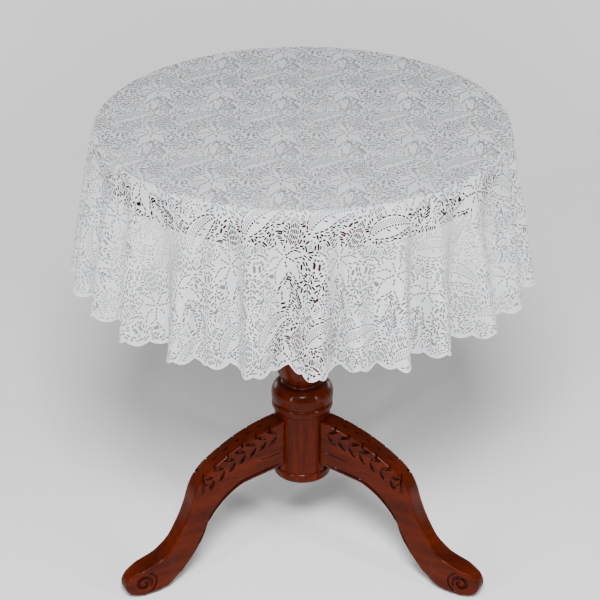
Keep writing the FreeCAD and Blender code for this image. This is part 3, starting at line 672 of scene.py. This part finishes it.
# An opening is left out where it would break into an earlier one or into a close-knit motif.
repeats = [np.array([i * REPEAT_WIDE, j * REPEAT_TALL]) for i in (-1, 0, 1) for j in (-1, 0, 1)]
solid = [shape + shift for shape in close_knit for shift in repeats]
RIM_SEARCH = 9    # how far from an opening's middle its neighbours are looked for
kept, rims = [], np.full((1, 2), 1e6)
for number, outline in enumerate(openings):
    outline = outline - np.round(outline.mean(0) / (REPEAT_WIDE, REPEAT_TALL)) * (REPEAT_WIDE, REPEAT_TALL)
    rim = rim_points(outline)
    thread = MOTIF_THREAD if number < motif_openings else NET_THREAD
    if number >= motif_openings:
        near = [s for s in solid if (s.max(0) > rim.min(0)).all() and (s.min(0) < rim.max(0)).all()]
        if any(covers(s, rim).any() for s in near):
            continue
    room = True
    for shift in repeats:
        close = (np.abs(rims - rim[0] - shift) < RIM_SEARCH).all(1)
        if close.any():
            gaps = rim[:, None] + shift - rims[close][None]
            room = room and np.hypot(gaps[..., 0], gaps[..., 1]).min() >= thread
    if room:
        kept.append(outline)
        rims = np.concatenate([rims, rim])

# The repeat is laid out as triangles that meet its neighbours exactly: openings first, then
# loose points in the close-knit parts, so that these can bend too.
own_points = [point for outline in kept for point in outline]
opening_of = [(sum(map(len, kept[:k])), len(outline)) for k, outline in enumerate(kept)]
all_rims = rims[1:]
LOOSE_ROWS, LOOSE_COLUMNS, CLEAR_OF_RIM = 29, 17, 2.3
for row in range(LOOSE_ROWS):
    for column in range(LOOSE_COLUMNS):
        x = (column + 0.5 * (row % 2)) * REPEAT_WIDE / LOOSE_COLUMNS - REPEAT_WIDE / 2
        y = row * REPEAT_TALL / LOOSE_ROWS - REPEAT_TALL / 2
        spot = np.array([x, y]) + hand_work.uniform(-0.8, 0.8, 2)
        if all(np.hypot(*(all_rims - spot - shift).T).min() > CLEAR_OF_RIM for shift in repeats):
            own_points.append(spot)
own_points = np.array(own_points)
own_points += hand_work.uniform(-0.02, 0.02, own_points.shape)

# The repeat is triangulated with a margin of its neighbours round it, and each triangle is kept
# only once: by the repeat that its lowest-numbered corner belongs to.
given, given_id, given_faces, face_opening = [], [], [], []
MARGIN = 16.0
for i in (-1, 0, 1):
    for j in (-1, 0, 1):
        moved = own_points + np.array([i * REPEAT_WIDE, j * REPEAT_TALL])
        wanted = (np.abs(moved) < np.array([REPEAT_WIDE, REPEAT_TALL]) / 2 + MARGIN).all(1)
        for first, count in opening_of:
            if wanted[first:first + count].any():
                wanted[first:first + count] = True
        place_in = np.cumsum(wanted) - 1 + len(given)
        for k, (first, count) in enumerate(opening_of):
            if wanted[first]:
                given_faces.append([int(n) for n in place_in[first:first + count]])
                face_opening.append(k)
        for n in np.nonzero(wanted)[0]:
            given.append(Vector(moved[n]))
            given_id.append((int(n), i, j))
result = delaunay_2d_cdt(given, [], given_faces, 0, 1e-7, True)
source = [(origins[0] if origins else -1) for origins in result[3]]
knit_corners, hole_corners, hole_number = [], [], []
for corners, from_faces in zip(result[2], result[5]):
    ids = [source[c] for c in corners]
    if min(ids) < 0:
        continue
    places = [given_id[n] for n in ids]
    if min(places)[1:] != (0, 0):
        continue
    if from_faces:
        hole_corners.append(places)
        hole_number.append(face_opening[from_faces[0]])
    else:
        knit_corners.append(places)


# ---------------------------------------------------------------------------------------
# The tablecloth: one round of that lace, 1.07 m across, laid centrally on the slab. Its drop
# hangs in deep folds of uneven width, and its edge is scalloped and bound with a knitted cord.
# ---------------------------------------------------------------------------------------
CLOTH_RADIUS = 0.537
CLOTH_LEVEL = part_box("stone_top")[1][2] + 0.0012
EDGE_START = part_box("stone_top")[1][0] - 0.004
EDGE_BEND = 0.0052
FOLD_DEPTH = 0.233
# Each fold: where its crest hangs round the table, in degrees from the front, how far it stands
# out, from 0 to 1, and the level of the valley after it.
FOLDS = [(-75.0, 0.95, 0.02), (-61.5, 0.90, 0.00), (-46.4, 1.00, 0.00), (-31.0, 1.00, 0.34),
         (-22.5, 0.66, 0.20), (-12.0, 1.00, 0.00), (3.4, 1.00, 0.02), (14.0, 0.58, 0.26),
         (24.0, 1.00, 0.00), (35.6, 0.88, 0.00), (51.0, 1.00, 0.04), (66.0, 0.92, 0.00),
         (80.0, 0.97, 0.04), (94.0, 0.86, 0.00), (109.5, 1.00, 0.00), (125.0, 0.90, 0.06),
         (139.0, 0.98, 0.00), (155.0, 0.94, 0.00), (170.5, 1.00, 0.05), (185.5, 0.86, 0.00),
         (201.0, 1.00, 0.00), (217.5, 0.95, 0.03), (232.0, 0.90, 0.00), (247.5, 1.00, 0.00),
         (261.0, 0.88, 0.04), (273.0, 0.94, 0.00)]


def fold_reach(turn, depth):
    """How far out the cloth stands all round, from 0 to 1, at a depth from 0 to 1 down the drop."""
    knots = []
    for k, (azimuth, crest, valley) in enumerate(FOLDS):
        ahead = FOLDS[(k + 1) % len(FOLDS)][0] + (360 if k == len(FOLDS) - 1 else 0)
        sway = 2.4 * math.sin(k * 2.4) * (1 - depth)
        late = min(1.0, max(0.0, (depth - 0.10 * (1 + math.sin(k * 5.1))) / 0.45))
        late = late * late * (3 - 2 * late)
        knots.append((azimuth + sway, 0.5 + (crest - 0.5) * (late if crest < 0.8 else 1.0)))
        knots.append(((azimuth + ahead) / 2 + sway * 0.4, valley))
    places = np.array([k[0] for k in knots])
    levels = np.array([k[1] for k in knots])
    places = np.concatenate([places - 360, places, places + 360])
    levels = np.tile(levels, 3)
    i = np.searchsorted(places, turn, side="right") - 1
    t = (turn - places[i]) / (places[i + 1] - places[i])
    return levels[i] + (levels[i + 1] - levels[i]) * (1 - np.cos(math.pi * t)) / 2


# Rings of the flat cloth are laid out one after another. Each keeps its length round the cloth
# and its distance along it from the ring before, so it falls as far as its folds leave it.
ring_radii = np.concatenate([[0.0, 0.1, 0.2], np.arange(0.285, CLOTH_RADIUS + 0.006, 0.0025)])
TURN_STEP = 0.5
cloth_turns = np.arange(0, 360, TURN_STEP)
fine_turns = np.linspace(-180, 180, 7201)
out_reach = np.zeros((len(ring_radii), len(cloth_turns)))
swing = np.zeros_like(out_reach)
for k, radius in enumerate(ring_radii):
    past = radius - EDGE_START
    if past <= 0:
        out_reach[k], swing[k] = radius, cloth_turns
        continue
    over_edge = EDGE_START + EDGE_BEND * math.sin(min(past / EDGE_BEND, math.pi / 2))
    fall = max(0.0, past - EDGE_BEND * math.pi / 2)
    depth = min(fall / FOLD_DEPTH, 1.05)
    crest_out = 0.0485 * depth ** 0.85
    valley_out = -0.0050 * min(1.0, max(0.0, (fall - 0.018) / 0.08)) + 0.0004
    reach = over_edge + valley_out + (crest_out - valley_out) * fold_reach(fine_turns, depth)
    slope = np.gradient(reach, np.radians(fine_turns))
    run = np.concatenate([[0], np.cumsum(np.hypot(reach, slope)[:-1])])
    flat_turn = run / run[-1] * 360 - 180
    flat_turn += np.mean(fine_turns - flat_turn)
    wrapped_flat = np.concatenate([flat_turn[:-1] - 360, flat_turn, flat_turn[1:] + 360])
    wrapped_turn = np.concatenate([fine_turns[:-1] - 360, fine_turns, fine_turns[1:] + 360])
    swing[k] = np.interp(cloth_turns, wrapped_flat, wrapped_turn)
    out_reach[k] = np.interp((swing[k] + 180) % 360 - 180, fine_turns, reach)
level = np.full_like(out_reach, CLOTH_LEVEL)
for k in range(1, len(ring_radii)):
    if ring_radii[k] > EDGE_START:
        along_cloth = ring_radii[k] - max(ring_radii[k - 1], EDGE_START)
        outward = out_reach[k] - np.maximum(out_reach[k - 1], EDGE_START)
        sideways = out_reach[k] * np.radians(swing[k] - swing[k - 1])
        left_over = along_cloth ** 2 - outward ** 2 - sideways ** 2
        down = np.sqrt(np.maximum(left_over, (0.05 * along_cloth) ** 2))
        level[k] = level[k - 1] - down
azimuth = np.radians(swing)
drape = np.stack([out_reach * np.sin(azimuth), -out_reach * np.cos(azimuth), level], -1)
way_out = np.gradient(drape, ring_radii, axis=0)
way_round = np.roll(drape, -1, 1) - np.roll(drape, 1, 1)
facing = np.cross(way_out, way_round)
facing[:3] = (0, 0, 1)
facing /= np.maximum(np.linalg.norm(facing, axis=2, keepdims=True), 1e-12)


def hang(flat):
    """Where points of the flat cloth hang, and which way the cloth faces there."""
    radius = np.hypot(flat[:, 0], flat[:, 1])
    turn = np.degrees(np.arctan2(flat[:, 0], -flat[:, 1])) % 360
    i = np.clip(np.searchsorted(ring_radii, radius, side="right") - 1, 0, len(ring_radii) - 2)
    t = ((radius - ring_radii[i]) / (ring_radii[i + 1] - ring_radii[i]))[:, None]
    j = (turn / TURN_STEP).astype(int) % len(cloth_turns)
    u = (turn / TURN_STEP - np.floor(turn / TURN_STEP))[:, None]
    j2 = (j + 1) % len(cloth_turns)
    placed = []
    for grid in (drape, facing):
        inner = grid[i, j] * (1 - u) + grid[i, j2] * u
        outer = grid[i + 1, j] * (1 - u) + grid[i + 1, j2] * u
        placed.append(inner * (1 - t) + outer * t)
    lying = radius < ring_radii[3]
    placed[0][lying] = np.column_stack([flat[lying], np.full(lying.sum(), CLOTH_LEVEL)])
    placed[1][lying] = (0, 0, 1)
    return placed


# The cut edge: ninety-six scallops, each 35 mm along and 6 mm deep.
SCALLOPS = 96
SCALLOP_DEPTH = 0.0062


def cut_edge(turn):
    """The cut radius at a turn in radians round the flat cloth."""
    return CLOTH_RADIUS - SCALLOP_DEPTH * (1 - np.abs(np.sin(turn * SCALLOPS / 2)) ** 0.9)


# The repeat is laid side by side over the round, with a star near the middle, and cut. Openings
# that reach the narrow band along the edge are knitted shut.
STAR_AT = np.array([-31.0, -43.3])
CLOSE_BAND = 0.0042
corners = np.array(knit_corners + hole_corners)
in_opening = np.array([-1] * len(knit_corners) + hole_number)
opening_middle = np.array([outline.mean(0) for outline in kept])
pitch = np.array([REPEAT_WIDE, REPEAT_TALL])
laid_keys, laid_flat = [], []
for i in range(-7, 8):
    for j in range(-5, 6):
        shift = np.array([i, j]) * pitch + STAR_AT
        if np.hypot(*np.maximum(np.abs(shift) - pitch / 2 - 20, 0)) > CLOTH_RADIUS * 1000:
            continue
        flat = (own_points[corners[..., 0]] + (corners[..., 1:] * pitch) + shift) / 1000
        radius = np.hypot(flat[..., 0], flat[..., 1])
        edge = cut_edge(np.arctan2(flat[..., 0], -flat[..., 1]))
        inside = (radius < edge).any(1)
        hole_at = (opening_middle[in_opening] + shift) / 1000
        hole_edge = cut_edge(np.arctan2(hole_at[:, 0], -hole_at[:, 1]))
        in_band = np.hypot(*hole_at.T) > hole_edge - CLOSE_BAND
        wanted = inside & ((in_opening < 0) | in_band)
        out = (radius > edge)[..., None]
        flat = np.where(out, flat * (edge / np.maximum(radius, 1e-6))[..., None], flat)
        key = corners[..., 0] + 100000 * ((corners[..., 1] + i + 20) * 100 + corners[..., 2] + j + 20)
        laid_keys.append(key[wanted])
        laid_flat.append(flat[wanted])
laid_keys = np.concatenate(laid_keys)
laid_flat = np.concatenate(laid_flat)
turned_size = np.cross(laid_flat[:, 1] - laid_flat[:, 0], laid_flat[:, 2] - laid_flat[:, 0])
whole = np.abs(turned_size) > 1e-10
laid_keys, laid_flat, turned_size = laid_keys[whole], laid_flat[whole], turned_size[whole]
first_use, corner = np.unique(laid_keys.reshape(-1), return_index=True, return_inverse=True)[1:]
flat_points = laid_flat.reshape(-1, 2)[first_use]
corner = corner.reshape(-1, 3)
flip = turned_size < 0
corner[flip] = corner[flip][:, ::-1]
hung, facing_of = hang(flat_points)
facing_of /= np.linalg.norm(facing_of, axis=1, keepdims=True)
middle = laid_flat.mean(1)
middle_radius = np.hypot(*middle.T)
middle_turn = np.degrees(np.arctan2(middle[:, 0], -middle[:, 1])) % 360

# The cord that binds the edge: round yarn laid along the scallops, drawn in at each notch.
CORD = 0.0007
CORD_SIDES = 6
steps = SCALLOPS * 12
edge_turn = np.arange(steps) / steps * math.tau
edge_flat = np.stack([cut_edge(edge_turn) * np.sin(edge_turn), -cut_edge(edge_turn) * np.cos(edge_turn)], 1)
edge_line, edge_facing = hang(edge_flat)
ahead = np.roll(edge_line, -1, 0) - np.roll(edge_line, 1, 0)
ahead /= np.linalg.norm(ahead, axis=1, keepdims=True)
across = np.cross(ahead, edge_facing)
across /= np.linalg.norm(across, axis=1, keepdims=True)
up = np.cross(across, ahead)
plump = CORD * (1 + 0.16 * np.sin(edge_turn * SCALLOPS * 6))[:, None]
cord_points, cord_faces = [], []
for k in range(CORD_SIDES):
    angle = k * math.tau / CORD_SIDES
    cord_points.append(edge_line + plump * (across * math.cos(angle) + up * math.sin(angle)))
cord_points = np.stack(cord_points, 1).reshape(-1, 3)
for k in range(steps):
    here, ahead_of = k * CORD_SIDES, (k + 1) % steps * CORD_SIDES
    for side in range(CORD_SIDES):
        a, b = here + side, here + (side + 1) % CORD_SIDES
        c, d = ahead_of + (side + 1) % CORD_SIDES, ahead_of + side
        cord_faces.append((a, b, c, d))
cord_mesh = bpy.data.meshes.new("edge_cord")
cord_mesh.from_pydata(cord_points.tolist(), [], cord_faces)
shell = bmesh.new()
shell.from_mesh(cord_mesh)
bmesh.ops.recalc_face_normals(shell, faces=shell.faces)
shell.to_mesh(cord_mesh)
shell.free()
cord_mesh.shade_smooth()
cord_yarn = plain_finish("cord_yarn", (0.56, 0.57, 0.59), 0.0, 0.80, 0.06, 1400.0, 0.0003)
cord_mesh.materials.append(cord_yarn)
edge_cord = bpy.data.objects.new("edge_cord", cord_mesh)
bpy.context.collection.objects.link(edge_cord)
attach(edge_cord, "cloth")


def lace_finish(name):
    """White cotton-rich yarn: matt, a little translucent, with fine wales across the cloth."""
    material, tree, shader = new_material(name)
    flat_map = node(tree, "ShaderNodeUVMap", uv_map="flat_cloth")
    wales = node(tree, "ShaderNodeTexWave", {"Vector": flat_map.outputs["UV"], "Scale": 220.0,
                                             "Distortion": 1.5, "Detail": 1.0}, bands_direction="X")
    yarn = node(tree, "ShaderNodeTexNoise", {"Vector": flat_map.outputs["UV"], "Scale": 420.0,
                                             "Detail": 3.0})
    cloudy = node(tree, "ShaderNodeTexNoise", {"Vector": flat_map.outputs["UV"], "Scale": 22.0,
                                               "Detail": 2.0})
    tone = ramp(tree, cloudy.outputs["Fac"], [(0.3, (0.50, 0.515, 0.54)), (0.7, (0.575, 0.585, 0.605))])
    speck = ramp(tree, yarn.outputs["Fac"], [(0.3, (0.88, 0.88, 0.88)), (0.62, (1, 1, 1))])
    colour = node(tree, "ShaderNodeMixRGB", {"Fac": 0.8, "Color1": tone.outputs[0],
                                             "Color2": speck.outputs[0]}, blend_type="MULTIPLY")
    tree.links.new(colour.outputs[0], shader.inputs["Base Color"])
    both = node(tree, "ShaderNodeMath", {0: wales.outputs["Fac"], 1: yarn.outputs["Fac"]}, operation="ADD")
    relief = node(tree, "ShaderNodeBump", {"Height": both.outputs[0], "Strength": 0.35, "Distance": 0.0004})
    tree.links.new(relief.outputs[0], shader.inputs["Normal"])
    shader.inputs["Roughness"].default_value = 0.82
    shader.inputs["Specular IOR Level"].default_value = 0.25
    shader.inputs["Sheen Weight"].default_value = 0.25
    shader.inputs["Sheen Roughness"].default_value = 0.5
    shader.inputs["Subsurface Weight"].default_value = 0.12
    shader.inputs["Subsurface Scale"].default_value = 0.002
    return material


lace_white = lace_finish("white_lace")


def piece_of_lace(name, chosen):
    """A part of the cloth as its own mesh, hung in place."""
    used, corners = np.unique(corner[chosen], return_inverse=True)
    mesh = bpy.data.meshes.new(name)
    mesh.from_pydata(hung[used].tolist(), [], corners.reshape(-1, 3).tolist())
    chart = mesh.uv_layers.new(name="flat_cloth")
    chart.data.foreach_set("uv", flat_points[used][corners.reshape(-1)].astype(np.float32).ravel())
    mesh.materials.append(lace_white)
    mesh.shade_smooth()
    mesh.normals_split_custom_set_from_vertices(facing_of[used].tolist())
    piece = bpy.data.objects.new(name, mesh)
    bpy.context.collection.objects.link(piece)
    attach(piece, "cloth")
    return piece


TOP_RADIUS = 0.306
top_part = middle_radius < TOP_RADIUS
left_part = ~top_part & (middle_turn > 180)
right_part = ~top_part & ~left_part
lace_top = piece_of_lace("lace_top", top_part)
piece_of_lace("lace_drop_left", left_part)
piece_of_lace("lace_drop_right", right_part)
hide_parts("lace_cloth")


# ---------------------------------------------------------------------------------------
# The studio: a plain pale floor, a soft key light above the front, two tall narrow boxes at the
# sides, two wide low ones at the back, a light for the floor behind, and a faint pale surround.
# ---------------------------------------------------------------------------------------
bpy.ops.object.select_all(action="DESELECT")
bpy.ops.mesh.primitive_plane_add(size=24.0, location=(0.0, 0.0, cad_box[0][2]))
floor = bpy.context.object
floor.name = "studio_floor"
paper, tree, shader = new_material("studio_paper")
place = node(tree, "ShaderNodeTexCoord")
tooth = node(tree, "ShaderNodeTexNoise", {"Vector": place.outputs["Object"], "Scale": 260.0})
toned = ramp(tree, tooth.outputs["Fac"], [(0.3, (0.80, 0.80, 0.80)), (0.7, (0.84, 0.84, 0.84))])
tree.links.new(toned.outputs[0], shader.inputs["Base Color"])
shader.inputs["Roughness"].default_value = 0.9
shader.inputs["Specular IOR Level"].default_value = 0.1
floor.data.materials.append(paper)


def soft_box(name, azimuth, distance, height, wide, tall, watts, aim):
    """A rectangular soft light, at an azimuth from the camera's side, turned towards aim."""
    lamp = bpy.data.lights.new(name, "AREA")
    lamp.shape = "RECTANGLE"
    lamp.size, lamp.size_y = wide, tall
    lamp.energy = watts
    holder = bpy.data.objects.new(name, lamp)
    bpy.context.collection.objects.link(holder)
    turn = math.radians(azimuth)
    holder.location = (distance * math.sin(turn), -distance * math.cos(turn), height)
    holder.rotation_euler = (Vector(aim) - holder.location).to_track_quat("-Z", "Y").to_euler()


soft_box("left_box", -41.0, 2.6, 1.15, 0.12, 1.6, 34.0, (0.0, 0.0, 0.40))
soft_box("right_box", 54.0, 2.6, 1.15, 0.11, 1.6, 32.0, (0.0, 0.0, 0.40))
soft_box("key", 0.0, 2.45, 3.00, 1.0, 0.8, 262.0, (0.0, 0.0, 0.50))
soft_box("left_back_box", -138.0, 3.1, 0.75, 1.1, 0.9, 26.0, (0.0, 0.0, 0.62))
soft_box("right_back_box", 138.0, 3.1, 0.75, 1.1, 0.9, 26.0, (0.0, 0.0, 0.62))
soft_box("backdrop_light", 180.0, 3.6, 2.6, 4.0, 0.8, 130.0, (0.0, 5.6, 0.0))

world = bpy.data.worlds.new("surround")
world.use_nodes = True
world.node_tree.nodes["Background"].inputs["Color"].default_value = (0.94, 0.97, 1.0, 1)
world.node_tree.nodes["Background"].inputs["Strength"].default_value = 0.10
bpy.context.scene.world = world

# The camera: a long lens, 2.6 m in front of the table and 1.8 m up, that looks down on it.
camera = bpy.data.objects.new("camera", bpy.data.cameras.new("camera"))
bpy.context.collection.objects.link(camera)
camera.data.lens = 116.7
camera.data.sensor_width = 36.0
camera.location = (-0.0036, -2.590, 1.834)
camera.rotation_euler = (math.radians(61.67), 0.0, 0.0)
bpy.context.scene.camera = camera
